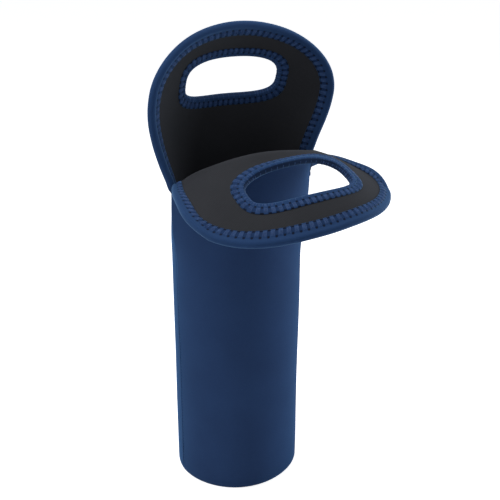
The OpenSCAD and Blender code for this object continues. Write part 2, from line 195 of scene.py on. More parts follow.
def front_mid(s, t):
    """Middle of the front flap: up to the crest, round the bend, then out and down in a curl."""
    across = s / HALF_W
    edge = across ** 2
    t = t + (SLOT_SHIFT + SLOT_SKEW * s) * hump(s, t, GRIP_UP, SLOT_WIDE, SLOT_LONG)
    rise = RISE * np.maximum(1 - edge, 0) ** RISE_POWER * (1 + RISE_SKEW * across)
    r = lerp(BEND_R, BEND_SIDE_R, edge) * (1 + BEND_SKEW * across)
    r = np.maximum(r, BEND_R * BEND_LEAST_SHARE)
    dip = lerp(DROOP, -LIFT, edge ** DROOP_POWER) + DROOP_SKEW * across
    full_bend = np.radians(90 + dip)
    over = np.maximum(t - rise, 0)
    bend = np.minimum(over / r, full_bend)
    rest = np.maximum(over - r * full_bend, 0)
    slope = np.radians(dip + CURL * rest / FLAP_L / 2)
    out = r * (1 - np.cos(bend)) + rest * np.cos(slope)
    up = np.minimum(t, rise) + r * np.sin(bend) - rest * np.sin(slope)
    fan = rad(FAN) * np.sign(s) * np.abs(across) ** FAN_POWER + rad(TURN) * ease(t / TURN_RUN)
    x = MOUTH_R * np.sin(s / MOUTH_R) + out * np.sin(fan)
    y = MOUTH_R * (math.cos(MOUTH_TURN) - np.cos(s / MOUTH_R)) - MOUTH_SHIFT - out * np.cos(fan)
    shift = LEFT_IN * side_share(-s) - RIGHT_IN * side_share(s)
    x = x + shift * (1 - ease(t / FRONT_UP))
    dips = sum(depth * np.exp(-((s - at) / wide) ** 2) for depth, at, wide in DIPS)
    sink = dips * rise_fall(t, 0, DIP_RUN, DIP_END, DIP_FADE)
    sink = sink + DENT * hump(s, t, DENT_AT, DENT_WIDE, DENT_LONG)
    twist = x * math.tan(rad(TWIST)) * ease((-y - TWIST_FROM) / TWIST_RUN)
    return np.stack([x, y, NOTCH_H + up - sink + twist], -1)


def sleeve_shift(left, right, t):
    """Sideways shift of the sleeve: in at the notches, out half way up, in at the right foot."""
    shift = LEFT_IN * left * ease((t + LEFT_DOWN) / LEFT_DOWN) ** LEFT_POWER
    shift = shift - RIGHT_IN * right * ease((t + RIGHT_DOWN) / RIGHT_DOWN)
    for hand, share in ((LEFT, left), (RIGHT, right)):
        swell, start, run = SWELL[hand]
        shift = shift + hand * swell * share * rise_fall(t + NOTCH_H, start, run, SWELL_END, SWELL_FADE)
    return shift - FOOT_IN * right * (1 - np.clip((t + NOTCH_H) / FOOT_RUN, 0, 1)) ** 2


def rear_shift(left, right, t):
    """Sideways shift of the rear flap, which draws in above the notches."""
    left_in = REAR_LEFT_IN + (LEFT_IN - REAR_LEFT_IN) * (1 - ease(t / REAR_LEFT_RUN))
    left_in = left_in + REAR_TOP_IN * ease((t - REAR_TOP_FROM) / REAR_TOP_RUN)
    right_in = RIGHT_IN * (1 - ease((t - REAR_RIGHT_FROM) / REAR_RIGHT_RUN))
    neck = {}
    for hand in (LEFT, RIGHT):
        depth, end, fade = NECK[hand]
        neck[hand] = depth * rise_fall(t, 0, NECK_RUN, end, fade)
    return left * (left_in + neck[LEFT]) - right * (right_in + neck[RIGHT])


def settle(side, s, t):
    """Sideways shift of the soft wall; the front flap's own is part of its lie."""
    left, right = side_share(-s), side_share(s)
    flap = rear_shift(left, right, t) if side == REAR else 0 * t
    return np.where(t < 0, sleeve_shift(left, right, t), flap)


def sag(side, s, t):
    """How far the soft corners at the notches hang below their cut height."""
    reach = np.where(t < 0, ease(-t / SAG_DOWN), ease(t / SAG_UP[side]))
    return NOTCH_SAG * ease((np.abs(s) - SAG_FROM) / SAG_RUN) * (1 - reach)


def wall_mid(side, s, t):
    """Middle of the laminate."""
    s, t = np.broadcast_arrays(np.asarray(s, float), np.asarray(t, float))
    high = np.maximum(t, 0)
    flap = rear_mid(s, high) if side == REAR else front_mid(s, high)
    below = np.stack([0 * t, 0 * t, np.minimum(t + COLLAR_H, 0)], -1)
    sleeve = collar_mid(side, s, np.clip(t, -COLLAR_H, 0)) + below
    mid = np.where((t < 0)[..., None], sleeve, flap)
    return mid + np.stack([settle(side, s, t), 0 * t, -sag(side, s, t)], -1)


def unit(v):
    return v / np.maximum(np.linalg.norm(v, axis=-1, keepdims=True), 1e-9)


def out_dir(side, s, t):
    """Direction in which the wall's thickness is laid: round on the sleeve, straight out on a flap."""
    s, t = np.broadcast_arrays(np.asarray(s, float), np.asarray(t, float))
    round_dir = np.stack([np.sin(s / MID_R), side * np.cos(s / MID_R), 0 * s], -1)
    high = np.maximum(t, 0)
    across = wall_mid(side, s + PROBE, high) - wall_mid(side, s - PROBE, high)
    along = wall_mid(side, s, high + PROBE) - wall_mid(side, s, np.maximum(high - PROBE, 0))
    normal = -side * unit(np.cross(across, along))
    turned = unit(lerp(round_dir, normal, ease(t / SETTLE_L)[..., None]))
    return np.where((t <= 0)[..., None], round_dir, turned)


def wall_point(side, s, t, depth):
    """Point of the laminate at s across, t above the notches and depth out from its middle."""
    s, t, depth = np.broadcast_arrays(np.asarray(s, float), np.asarray(t, float), np.asarray(depth, float))
    return wall_mid(side, s, t) + depth[..., None] * out_dir(side, s, t)


# Meshes
def new_mesh(name, points, faces, uv=None):
    """Smooth mesh object from points in millimetres; uv holds one pair per point."""
    mesh = bpy.data.meshes.new(name)
    mesh.from_pydata((np.asarray(points) / MM_PER_M).tolist(), [], [tuple(int(i) for i in f) for f in faces])
    mesh.validate()
    if uv is not None:
        layer = mesh.uv_layers.new(name="pattern")
        corners = np.zeros(len(mesh.loops), np.int32)
        mesh.loops.foreach_get("vertex_index", corners)
        layer.data.foreach_set("uv", np.asarray(uv, float)[corners].astype(np.float32).ravel())
    mesh.polygons.foreach_set("use_smooth", [True] * len(mesh.polygons))
    ob = bpy.data.objects.new(name, mesh)
    bpy.context.scene.collection.objects.link(ob)
    return ob


def grid_faces(rows, cols):
    """Faces of a grid of points that are numbered row by row."""
    faces = []
    for i in range(rows - 1):
        for j in range(cols - 1):
            a, b = i * cols + j, (i + 1) * cols + j
            faces.append((a + 1, b + 1, b, a))
    return faces


def shell(name, outer_points, inner_points, uv, faces):
    """Closed shell between two surfaces of the same layout."""
    size = len(outer_points)
    edges = {}
    for face in faces:
        for a, b in zip(face, face[1:] + face[:1]):
            edges[(a, b)] = edges.get((a, b), 0) + 1
    border = [(a, b) for (a, b) in edges if (b, a) not in edges]
    all_faces = list(faces) + [tuple(i + size for i in face[::-1]) for face in faces]
    all_faces += [(b, a, a + size, b + size) for a, b in border]
    return new_mesh(name, np.concatenate([outer_points, inner_points]), all_faces, np.concatenate([uv, uv]))


def arc_lengths(points):
    steps = np.linalg.norm(np.diff(points, axis=0), axis=1)
    return np.concatenate([[0], np.cumsum(steps)])


# Materials
def srgb(*levels):
    """Linear colour from levels of 0 to 255."""
    def linear(level):
        level /= 255
        return level / 12.92 if level <= 0.04045 else ((level + 0.055) / 1.055) ** 2.4
    return (*map(linear, levels), 1)


class Nodes:
    """Short way to write the node graph of a material."""

    def __init__(self, name):
        self.mat = bpy.data.materials.new(name)
        self.mat.use_nodes = True
        self.tree = self.mat.node_tree
        self.bsdf = self.tree.nodes["Principled BSDF"]

    def add(self, kind, **values):
        node = self.tree.nodes.new("ShaderNode" + kind)
        for key, value in values.items():
            if key in node.inputs:
                node.inputs[key].default_value = value
            else:
                setattr(node, key, value)
        return node

    def link(self, a, b):
        self.tree.links.new(a, b)

    def math(self, operation, *values):
        node = self.add("Math", operation=operation)
        for socket, value in zip(node.inputs, values):
            if isinstance(value, (int, float)):
                socket.default_value = value
            else:
                self.link(value, socket)
        return node.outputs[0]

    def times(self, a, b):
        return self.math("MULTIPLY", a, b)

    def plus(self, a, b):
        return self.math("ADD", a, b)

    def distance(self, value, place):
        return self.math("ABSOLUTE", self.math("SUBTRACT", value, place))

    def step(self, value, low, high):
        """0 below low, 1 above high, smooth between; low may be the larger."""
        node = self.add("MapRange", interpolation_type="SMOOTHSTEP")
        self.link(value, node.inputs["Value"])
        node.inputs["From Min"].default_value = low
        node.inputs["From Max"].default_value = high
        return node.outputs[0]

    def noise(self, scale, detail=2.0):
        place = self.add("TexCoord")
        node = self.add("TexNoise", Scale=scale, Detail=detail)
        self.link(place.outputs["Object"], node.inputs["Vector"])
        return node.outputs["Fac"]

    def ramp(self, value, low, high):
        """Colour between two stops, each a place and a colour."""
        node = self.add("ValToRGB")
        for stop, (place, colour) in zip(node.color_ramp.elements, (low, high)):
            stop.position = place
            stop.color = colour
        self.link(value, node.inputs["Fac"])
        return node.outputs["Color"]

    def mix(self, factor, a, b):
        """From the colour a, a socket, towards the fixed colour b."""
        node = self.add("Mix", data_type="RGBA")
        self.link(factor, node.inputs["Factor"])
        self.link(a, node.inputs["A"])
        node.inputs["B"].default_value = b
        return node.outputs["Result"]

    def bump(self, height, strength, distance):
        node = self.add("Bump", Strength=strength, Distance=distance)
        self.link(height, node.inputs["Height"])
        self.link(node.outputs["Normal"], self.bsdf.inputs["Normal"])

    def pattern(self):
        """Flat pattern's coordinates in millimetres."""
        uv = self.add("UVMap", uv_map="pattern")
        parts = self.add("SeparateXYZ")
        self.link(uv.outputs["UV"], parts.inputs[0])
        return parts.outputs["X"], parts.outputs["Y"]

    def surface(self, values):
        for key, value in values.items():
            self.bsdf.inputs[key].default_value = value


# Ladder of cover stitches on a binding, in millimetres along the rim and in from its edge
# The last row here ends the painted shade over the slot binding's nose
LADDER_PITCH, HOLE_ROW, DASH_ROW, SHADED_NOSE_ROW = 4.9, 5.3, 9.95, 1.3
HOLE_SOFT, HOLE_HARD = 1.15, 0.5
DASH_SOFT, DASH_HARD, DASH_WIDE, DASH_THIN = 1.4, 0.8, 0.85, 0.4
GAP_SOFT, GAP_HARD, GAP_OVER, GAP_UNDER = 1.35, 0.6, 0.6, 0.4
# Painted shade: the colour over the slot binding's nose, the colour in the needle holes, and the fade of the
# nose's shade
SHADED_NOSE_COLOUR, HOLE_SHADE, SHADED_NOSE_FADE = srgb(12, 18, 36), srgb(8, 13, 28), 1.2
# How strongly the marks' painted shade darkens the knit, and how deep they lie against its loops
GAP_MIX, SHADED_NOSE_MIX, HOLE_MIX, HOLE_DEEPER, MARK_DEPTH = 0.5, 0.7, 0.95, 1.4, 2.2
# Knit: loops along a column for each column's width, their slant, and the sizes of blotches and fuzz
LOOP_RATE, LOOP_SLANT, BLOTCH_SCALE, BLOTCH_DETAIL, FUZZ_SCALE = 1.3, 2.2, 24, 3, 900
YARN_SHARE, BLOTCH_SHARE, FUZZ_SHARE, FUZZ_HEIGHT = 0.4, 0.45, 0.25, 0.5
KNIT_DARK_AT, KNIT_LIGHT_AT, KNIT_BUMP = 0.25, 0.95, 0.0002
# Thread: size of its grain
GRAIN_SCALE, THREAD_DARK_AT, THREAD_LIGHT_AT, GRAIN_STRENGTH, GRAIN_BUMP = 420, 0.3, 0.7, 0.25, 0.0001


def ladder_marks(m, u, v, colour, height, gap_shade):
    """Dents of the cover stitches: needle holes, short dashes and the ground between the bars, all darkened
    with painted shade; painted shade also over the middle of the slot binding's nose.
    """
    turn = m.math("FRACT", m.math("DIVIDE", u, LADDER_PITCH))
    off = m.times(m.distance(turn, 0.5), LADDER_PITCH)
    near, far = m.distance(v, HOLE_ROW), m.distance(v, DASH_ROW)
    hole = m.step(m.math("SQRT", m.plus(m.times(off, off), m.times(near, near))), HOLE_SOFT, HOLE_HARD)
    dash = m.times(m.step(off, DASH_SOFT, DASH_HARD), m.step(far, DASH_WIDE, DASH_THIN))
    above = m.step(v, HOLE_ROW - GAP_UNDER, HOLE_ROW + GAP_OVER)
    below = m.step(v, DASH_ROW + GAP_OVER, DASH_ROW - GAP_UNDER)
    gap = m.times(m.step(off, GAP_SOFT, GAP_HARD), m.times(above, below))
    spots = m.math("MAXIMUM", hole, dash)
    # Painted shade over the middle of the slot binding's nose, the slot's edge in its own shade
    edge = m.step(v, SHADED_NOSE_ROW, SHADED_NOSE_ROW - SHADED_NOSE_FADE)
    # Painted shade between the bars, then over the nose, then in the needle holes and dashes
    colour = m.mix(m.times(gap, GAP_MIX), colour, gap_shade)
    colour = m.mix(m.times(edge, SHADED_NOSE_MIX), colour, SHADED_NOSE_COLOUR)
    colour = m.mix(m.times(spots, HOLE_MIX), colour, HOLE_SHADE)
    dent = m.times(m.plus(m.times(spots, HOLE_DEEPER), gap), MARK_DEPTH)
    return colour, m.math("SUBTRACT", height, dent)


def knit_material(name, dark, light, sheen, sheen_tint, pitch=0.7, bump=0.12, ladder=None):
    """Fine jersey knit: columns of small loops, slight changes of shade and a soft sheen; pitch is a
    column's width and ladder the painted shade between the bars of a binding, which also brings in the
    painted shade of its holes, dashes and nose."""
    m = Nodes(name)
    u, v = m.pattern()
    column = m.math("ABSOLUTE", m.math("SINE", m.times(u, PI / pitch)))
    slant = m.plus(m.times(v, 2 * PI * LOOP_RATE / pitch), m.times(column, LOOP_SLANT))
    loop = m.times(m.plus(m.math("SINE", slant), 1), 0.5)
    yarn = m.times(column, m.plus(m.times(loop, 0.5), 0.5))
    blotch, fuzz = m.noise(BLOTCH_SCALE, BLOTCH_DETAIL), m.noise(FUZZ_SCALE)
    shade = m.plus(m.times(yarn, YARN_SHARE), m.times(blotch, BLOTCH_SHARE))
    shade = m.plus(shade, m.times(fuzz, FUZZ_SHARE))
    colour = m.ramp(shade, (KNIT_DARK_AT, dark), (KNIT_LIGHT_AT, light))
    height = m.plus(yarn, m.times(fuzz, FUZZ_HEIGHT))
    if ladder:
        colour, height = ladder_marks(m, u, v, colour, height, ladder)
    m.link(colour, m.bsdf.inputs["Base Color"])
    m.bump(height, bump, KNIT_BUMP)
    m.surface({"Roughness": 0.85, "Specular IOR Level": 0.08, "Sheen Weight": sheen,
               "Sheen Roughness": 0.4, "Sheen Tint": sheen_tint})
    return m.mat


def thread_material(name, dark, light, rough=0.55):
    """Grainy thread, also used for the foam inside."""
    m = Nodes(name)
    grain = m.noise(GRAIN_SCALE)
    colour = m.ramp(grain, (THREAD_DARK_AT, dark), (THREAD_LIGHT_AT, light))
    m.link(colour, m.bsdf.inputs["Base Color"])
    m.bump(grain, GRAIN_STRENGTH, GRAIN_BUMP)
    m.surface({"Roughness": rough, "Specular IOR Level": 0.15, "Sheen Weight": 0.1,
               "Sheen Tint": (0.3, 0.55, 1, 1)})
    return m.mat


MAT_FACE = knit_material("navy_knit", srgb(32, 50, 83), srgb(44, 68, 108), 0.32, (0.12, 0.45, 1, 1))
MAT_LINING = knit_material("lining_knit", srgb(38, 39, 42), srgb(54, 55, 59), 0.05, (0.8, 0.85, 1, 1),
                           pitch=0.9, bump=0.08)
# The binding's ladder colour is painted shade between the bars of its cover stitches
MAT_BIND = knit_material("binding_knit", srgb(28, 49, 83), srgb(42, 69, 110), 0.38, (0.3, 0.6, 1, 1),
                         pitch=0.6, ladder=srgb(18, 33, 64))
MAT_THREAD = thread_material("navy_thread", srgb(36, 58, 98), srgb(54, 80, 124))
MAT_SEAM = thread_material("seam_thread", srgb(27, 48, 86), srgb(38, 65, 110), 0.8)
MAT_FOAM = thread_material("foam_black", srgb(14, 14, 15), srgb(26, 26, 28), 0.9)

# Where each flap takes over from the sleeve, in metres
BLEND = {
    FRONT: ("front_flap", (0, -0.020, 0.243), (0, -0.070, 0.278)),
    REAR: ("rear_flap", (0, 0.022, 0.238), (0, 0.022, 0.288)),
}


def dress(ob, mat, replaces, blend=None, body="sleeve"):
    """Material in a slot of its own, the nodes that the piece stands for, and the body that carries it; with
    blend the piece is only fixed in place.
    """
    ob.data.materials.append(mat)
    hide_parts(*replaces)
    if blend:
        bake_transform(ob)
    else:
        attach(ob, body)
    return ob


# Layout of a panel, which is one piece from the heel to the rim of its flap
COLUMNS, HEEL_ROWS, ROUND_ROWS, COLLAR_ROWS = 84, 7, 15, 17
FOLD_ROWS, FOLD_POWER = {FRONT: 58, REAR: 26}, 1.25
RINGS, CROWN_STEPS, FINE_HEIGHTS, COARSE_HEIGHTS = 14, 96, 9, 4
# The columns stand closer together towards the side seams
SPREAD = PI / 2 * 0.82
# Power of the heel's curve, squarer on the left and flatter on the right, and how far across it changes
HEEL_LEFT, HEEL_RIGHT, HEEL_TURN = 0.5, 1.35, 30.0
# Ridge along the side seams and the groove on its top; they end below the notches
RIDGE_H, RIDGE_W, GROOVE_H, GROOVE_W, RIDGE_END = 0.24, 3.2, 0.16, 0.6, 14.0
# Slight waves of the sleeve as (height, length across, length up, start), which fade out at the notches
WAVES = ((0.13, 17.0, 61.0, 0.8), (0.07, 9.5, -38.0, 2.1), (0.06, 33.0, 21.0, 0.0))
CALM_FROM, CALM_RUN = -30.0, 60.0
# How far the foam stands back from the knits, so that it never shows through
FOAM_GAP = 0.5
# Height above the notches over which a panel's edge draws back under its binding
INSET_RUN = 2.0


def panel_layout(side, coarse=False):
    """Columns, rows below the slot as (kind, value), rings of points round the slot, and their outer edge."""
    step = 2 if coarse else 1
    columns = np.sin(np.linspace(-SPREAD, SPREAD, COLUMNS + 1))[::step] / math.sin(SPREAD)
    rows = [("heel", 90 * (1 - i / HEEL_ROWS)) for i in range(HEEL_ROWS)]
    rows += [("wall", z - NOTCH_H) for z in np.linspace(HEEL_H, ROUND_H, ROUND_ROWS + 1)[:-1]]
    rows += [("wall", z - NOTCH_H) for z in np.linspace(ROUND_H, NOTCH_H, COLLAR_ROWS + 1)[:-1]]
    rows += [("wall", t) for t in np.linspace(0, 1, FOLD_ROWS[side]) ** FOLD_POWER * FOLD_L]
    heights = np.linspace(FOLD_L, FLARE_H, COARSE_HEIGHTS if coarse else FINE_HEIGHTS)
    rim_s, rim_t = rim_curve(BIND_T, heights, CROWN_STEPS // step)
    root_s = columns[1:-1] * (width_at(FOLD_L) - BIND_T)
    root_t = np.full(len(root_s), FOLD_L)
    edge = np.stack([np.concatenate([rim_s, root_s]), np.concatenate([rim_t, root_t])], -1)
    inner = np.stack(slot_points(edge[:, 0], edge[:, 1] - GRIP_UP, BIND_T), -1)
    shares = np.linspace(0, 1, RINGS // step + 1)[:-1]
    rings = np.stack([inner + (edge - inner) * share for share in shares], 1)
    return columns, rows, rings, edge


def seam_ridge(s, t):
    """Small ridge along the side seams, with the groove of the stitches on its top."""
    gap = HALF_W - np.abs(s)
    ridge = RIDGE_H * np.exp(-gap / RIDGE_W) - GROOVE_H * np.exp(-(gap / GROOVE_W) ** 2)
    return ridge * (1 - ease((t + RIDGE_END) / RIDGE_END))


def relief(s, t):
    """Slight unevenness of the stuffed sleeve."""
    calm = 1 - ease((t - CALM_FROM) / CALM_RUN)
    return calm * sum(high * np.sin(s / wide + t / long + start) for high, wide, long, start in WAVES)


def heel_row(side, depth, columns, turn, detail):
    """Points and pattern of one row of the heel, turn degrees round from its top."""
    s = columns * HALF_W
    arc = MID_R + depth - HEEL_C
    power = lerp(HEEL_LEFT, HEEL_RIGHT, ease((s + HEEL_TURN) / (2 * HEEL_TURN)))
    r = HEEL_C + arc * math.cos(rad(turn)) ** power
    z = HEEL_H - arc * math.sin(rad(turn)) ** power
    if detail:
        r = r + seam_ridge(s, HEEL_H - NOTCH_H) * math.cos(rad(turn))
    x = r * np.sin(s / MID_R) + settle(side, s, z - NOTCH_H)
    pattern_t = HEEL_H - NOTCH_H - arc * rad(turn) + 0 * s
    return np.stack([x, side * r * np.cos(s / MID_R), z], -1), np.stack([s, pattern_t], -1)


def wall_row(side, depth, columns, t, detail):
    """Points and pattern of one row of the sleeve or the fold."""
    s = columns * (width_at(t) - BIND_T * ease(t / INSET_RUN))
    if detail:
        depth = depth + seam_ridge(s, t) + relief(s, t)
    return wall_point(side, s, t, depth), np.stack([s, 0 * s + t], -1)


def panel_surface(side, depth, layout, ridge=True):
    """Points, pattern coordinates and faces of one surface of a panel."""
    columns, rows, rings, edge = layout
    detail = ridge and depth > 0
    points, uv = [], []
    for kind, value in rows:
        make_row = heel_row if kind == "heel" else wall_row
        row_points, row_uv = make_row(side, depth, columns, value, detail)
        points.append(row_points)
        uv.append(row_uv)
    count, depth_rings = rings.shape[:2]
    rim_count = count - (len(columns) - 2)
    for flat in (rings.reshape(-1, 2), edge[1:rim_count - 1]):
        points.append(wall_point(side, flat[:, 0], flat[:, 1], depth))
        uv.append(flat)
    faces = grid_faces(len(rows), len(columns))
    left_corner = (len(rows) - 1) * len(columns)
    right_corner = left_corner + len(columns) - 1
    first_ring = right_corner + 1
    first_edge = first_ring + count * depth_rings
    outer = [right_corner, *range(first_edge, first_edge + rim_count - 2), *range(left_corner, right_corner)]
    spokes = []
    for i in range(count):
        start = first_ring + i * depth_rings
        spokes.append([*range(start, start + depth_rings), outer[i]])
    for a, b in zip(spokes, spokes[1:] + spokes[:1]):
        faces += [(a[j], a[j + 1], b[j + 1], b[j]) for j in range(depth_rings)]
    if side == REAR:
        faces = [face[::-1] for face in faces]
    return np.concatenate(points), np.concatenate(uv), faces


def make_panel(side):
    """Outer knit, lining knit and foam core of the front or the rear panel."""
    name = SIDE_NAME[side]
    fine, coarse = panel_layout(side), panel_layout(side, True)
    knits = (("outer_knit", MAT_FACE, "face", HALF_T, HALF_T - FACE_T),
             ("lining_knit", MAT_LINING, "lining", LINING_T - HALF_T, -HALF_T))
    for slot, mat, layer, high, low in knits:
        points, uv, faces = panel_surface(side, high, fine)
        ob = shell(name + "_" + slot, points, panel_surface(side, low, fine)[0], uv, faces)
        dress(ob, mat, [name + part + layer for part in ("_panel_", "_fold_", "_flap_")], BLEND[side])
    points, uv, faces = panel_surface(side, HALF_T - FACE_T - FOAM_GAP, coarse, False)
    low_points = panel_surface(side, LINING_T - HALF_T + FOAM_GAP, coarse, False)[0]
    ob = shell(name + "_foam_core", points, low_points, uv, faces)
    dress(ob, MAT_FOAM, [name + "_panel_foam", name + "_fold_foam", name + "_flap_foam"], BLEND[side])


for side in (FRONT, REAR):
    make_panel(side)

# Base
DISC_RINGS, DISC_TURNS, BASE_CROWN = 14, 96, 0.3


def disc(name, low, high, crown=0.0):
    """Round layer of the base between two heights, slightly domed."""
    points, uv, faces = [], [], []
    for z, sign in ((high, 1), (low, -1)):
        start = len(points)
        points.append((0, 0, z + crown))
        uv.append((0, 0))
        for i in range(1, DISC_RINGS + 1):
            r = HEEL_C * i / DISC_RINGS
            for j in range(DISC_TURNS):
                turn = 2 * PI * j / DISC_TURNS
                x, y = r * math.cos(turn), r * math.sin(turn)
                points.append((x, y, z + crown * (1 - (i / DISC_RINGS) ** 2)))
                uv.append((x, y))
        for j in range(DISC_TURNS):
            k = (j + 1) % DISC_TURNS
            layer = [(start, start + 1 + j, start + 1 + k)]
            for i in range(DISC_RINGS - 1):
                a, b = start + 1 + i * DISC_TURNS, start + 1 + (i + 1) * DISC_TURNS
                layer.append((a + j, b + j, b + k, a + k))
            faces += [face[::sign] for face in layer]
    size = 1 + DISC_RINGS * DISC_TURNS
    rim = size - DISC_TURNS
    for j in range(DISC_TURNS):
        k = (j + 1) % DISC_TURNS
        faces.append((rim + j, size + rim + j, size + rim + k, rim + k))
    return new_mesh(name, points, faces, uv)


base_outer = dress(disc("base_outer_knit", 0, FACE_T), MAT_FACE, ["base_face"])
base_foam = dress(disc("base_foam_core", FACE_T, WALL - LINING_T), MAT_FOAM, ["base_foam"])
base_lining = dress(disc("base_lining_knit", WALL - LINING_T, WALL, BASE_CROWN), MAT_LINING,
                    ["base_lining"])

# Bindings, whose sections are lists of (inset from the edge, depth from the wall's middle)
SKIN = HALF_T + 0.12
LEG_H = 0.46
LEG_EDGE = ((0, 0), (0.15, 0.15), (0, 0.34), (-0.5, 0.42), (-2.2, LEG_H))
RIM_LEG = ((ROLL_W + 1.9, LEG_H), (ROLL_W + 0.9, 0.4), (ROLL_W + 0.25, 0.26))
GRIP_LEG = ((5.2, 0.44), (4.2, 0.34), (3.2, 0.44), (2.2, LEG_H))
# Noses over the edge: count of points, half their turn in degrees, centre, reach and height
ROLL_REACH_SHARE, ROLL_H, NOSE_R = 0.51, 2.85, 2.0
RIM_NOSE = (15, 105, ROLL_W / 2, ROLL_W * ROLL_REACH_SHARE, ROLL_H)
GRIP_NOSE = (9, 80, NOSE_R, NOSE_R, SKIN + LEG_H)
# Undersides of the bindings, against the wall
RIM_UNDER = [(ROLL_W, -SKIN), (BIND_T, -SKIN), (BIND_T, SKIN), (ROLL_W, SKIN)]
GRIP_UNDER = [(BIND_T, -SKIN), (BIND_T, SKIN)]
# Heights of the sections along a rim's sides, close together at the notches, and steps over its crown
RIM_START, RIM_DENSE, RIM_STEPS = -2.5, 12.0, 130
DENSE_ROWS, FOLD_SECTIONS, FLARE_ROWS = 33, 25, 9
RIM_HEIGHTS = np.concatenate([np.linspace(RIM_START, RIM_DENSE, DENSE_ROWS + 1)[:-1],
                              np.linspace(RIM_DENSE, FOLD_L, FOLD_SECTIONS + 1)[:-1],
                              np.linspace(FOLD_L, FLARE_H, FLARE_ROWS + 1)])
# At the notches a rim starts thinner
RIM_TAPER, START_SHARE = 3.0, 0.55
# Inset of the line that the rim's bars are counted along, and the length at each end without a bar
RIM_LINE, RIM_END = 8.0, 3.0
# Rows of the slot's band, its pitch, and the line along which the pitch is counted
GRIP_HOLES, GRIP_DASHES, GRIP_PITCH, GRIP_LINE = 3.9, BAND_W - 0.25, 4.4, 4.0
GRIP_TURNS, LINE_POINTS = 220, 2001
# How far to both sides of that line a point of the slot is looked for, and in how many halvings
SLOT_REACH, SLOT_HALVINGS = 9.0, 26
# The ladder shows on the parts of the band's section that lie deeper than this; the rest, the middle of the
# nose, gets the painted shade
LADDER_DEPTH = 1.8


def swept(name, points, uv, closed=False):
    """Tube through sections given as points (rows, section, 3), with flat ends or closed on itself."""
    rows, size = points.shape[:2]
    faces = []
    for i in range(rows if closed else rows - 1):
        a, b = i * size, (i + 1) % rows * size
        for j in range(size):
            k = (j + 1) % size
            faces.append((a + j, b + j, b + k, a + k))
    if not closed:
        faces.append(tuple(range(size)))
        faces.append(tuple(reversed(range((rows - 1) * size, rows * size))))
    return new_mesh(name, points.reshape(-1, 3), faces, uv.reshape(-1, 2))


def section(width, leg, nose, under):
    """Section of a binding: a leg on the outer face, a round nose over the edge, the same leg inside."""
    outer = [(width + back, SKIN + up) for back, up in LEG_EDGE] + [(inset, SKIN + up) for inset, up in leg]
    count, half_turn, centre, reach, height = nose
    turns = [rad(half_turn * (1 - 2 * i / (count - 1))) for i in range(count)]
    over = [(centre - reach * math.cos(turn), height * math.sin(turn)) for turn in turns]
    return outer + over + [(inset, -depth) for inset, depth in reversed(outer)] + under


def section_uv(run, across):
    """Pattern coordinates of a swept binding: run along it, across its section."""
    return np.stack(np.broadcast_arrays(run[:, None], np.array(across)[None]), -1)


def rim_run(side, s, t):
    """Length along the rim, stretched to a whole number of ladder pitches with a bar at each end."""
    run = arc_lengths(wall_point(side, s, t, 0 * s))
    length = run[-1] - 2 * RIM_END
    return (run - RIM_END) / length * round(length / LADDER_PITCH) * LADDER_PITCH


def rim_binding(side):
    """Rim binding of a flap and the points of its sections."""
    profile = section(RIM_W, RIM_LEG, RIM_NOSE, RIM_UNDER)
    rows = []
    for inset, depth in profile:
        s, t = rim_curve(inset, RIM_HEIGHTS, RIM_STEPS)
        full = lerp(START_SHARE, 1, ease((t - RIM_START) / RIM_TAPER))
        rows.append(wall_point(side, s, t, depth * full))
    points = np.stack(rows, 1)
    run = rim_run(side, *rim_curve(RIM_LINE, RIM_HEIGHTS, RIM_STEPS))
    # Clamped so that the rim's nose gets none of the painted shade
    uv = section_uv(run, [max(inset, SHADED_NOSE_ROW) for inset, depth in profile])
    if side == FRONT:
        points, uv = points[::-1], uv[::-1]
    return swept(SIDE_NAME[side] + "_rim_piping", points, uv), points


def slot_base():
    """Way round the slot on the line that the pitch is counted along, as (length, s, t)."""
    turn = np.linspace(0, 2 * PI, LINE_POINTS)
    s, t = slot_points(np.cos(turn), np.sin(turn), GRIP_LINE)
    return arc_lengths(np.stack([s, t], -1)), s, t


def slot_path(at, grow):
    """Points of the slot grown by grow, straight across its edge at the shares at of its way round."""
    run, s, t = slot_base()
    at = np.asarray(at) % 1 * run[-1]
    x, y = np.interp(at, run, s), np.interp(at, run, t) - GRIP_UP
    out_x = np.abs(x / (GRIP_W / 2 + GRIP_LINE)) ** (GRIP_N - 1) * np.sign(x) / GRIP_W
    out_y = np.abs(y / (GRIP_H / 2 + GRIP_LINE)) ** (GRIP_N - 1) * np.sign(y) / GRIP_H
    size = np.hypot(out_x, out_y)
    out_x, out_y = out_x / size, out_y / size
    low, high = np.full(len(at), -SLOT_REACH), np.full(len(at), SLOT_REACH)
    for _ in range(SLOT_HALVINGS):
        mid = (low + high) / 2
        share_x = np.abs((x + mid * out_x) / (GRIP_W / 2 + grow)) ** GRIP_N
        share_y = np.abs((y + mid * out_y) / (GRIP_H / 2 + grow)) ** GRIP_N
        inside = share_x + share_y < 1
        low, high = np.where(inside, mid, low), np.where(inside, high, mid)
    return x + low * out_x, GRIP_UP + y + low * out_y


GRIP_LENGTH = slot_base()[0][-1]
GRIP_COUNT = int(round(GRIP_LENGTH / GRIP_PITCH))


def ladder_row(grow):
    """Place across the rim's ladder that fits a place across the slot's band."""
    return HOLE_ROW + (grow - GRIP_HOLES) * (DASH_ROW - HOLE_ROW) / (GRIP_DASHES - GRIP_HOLES)


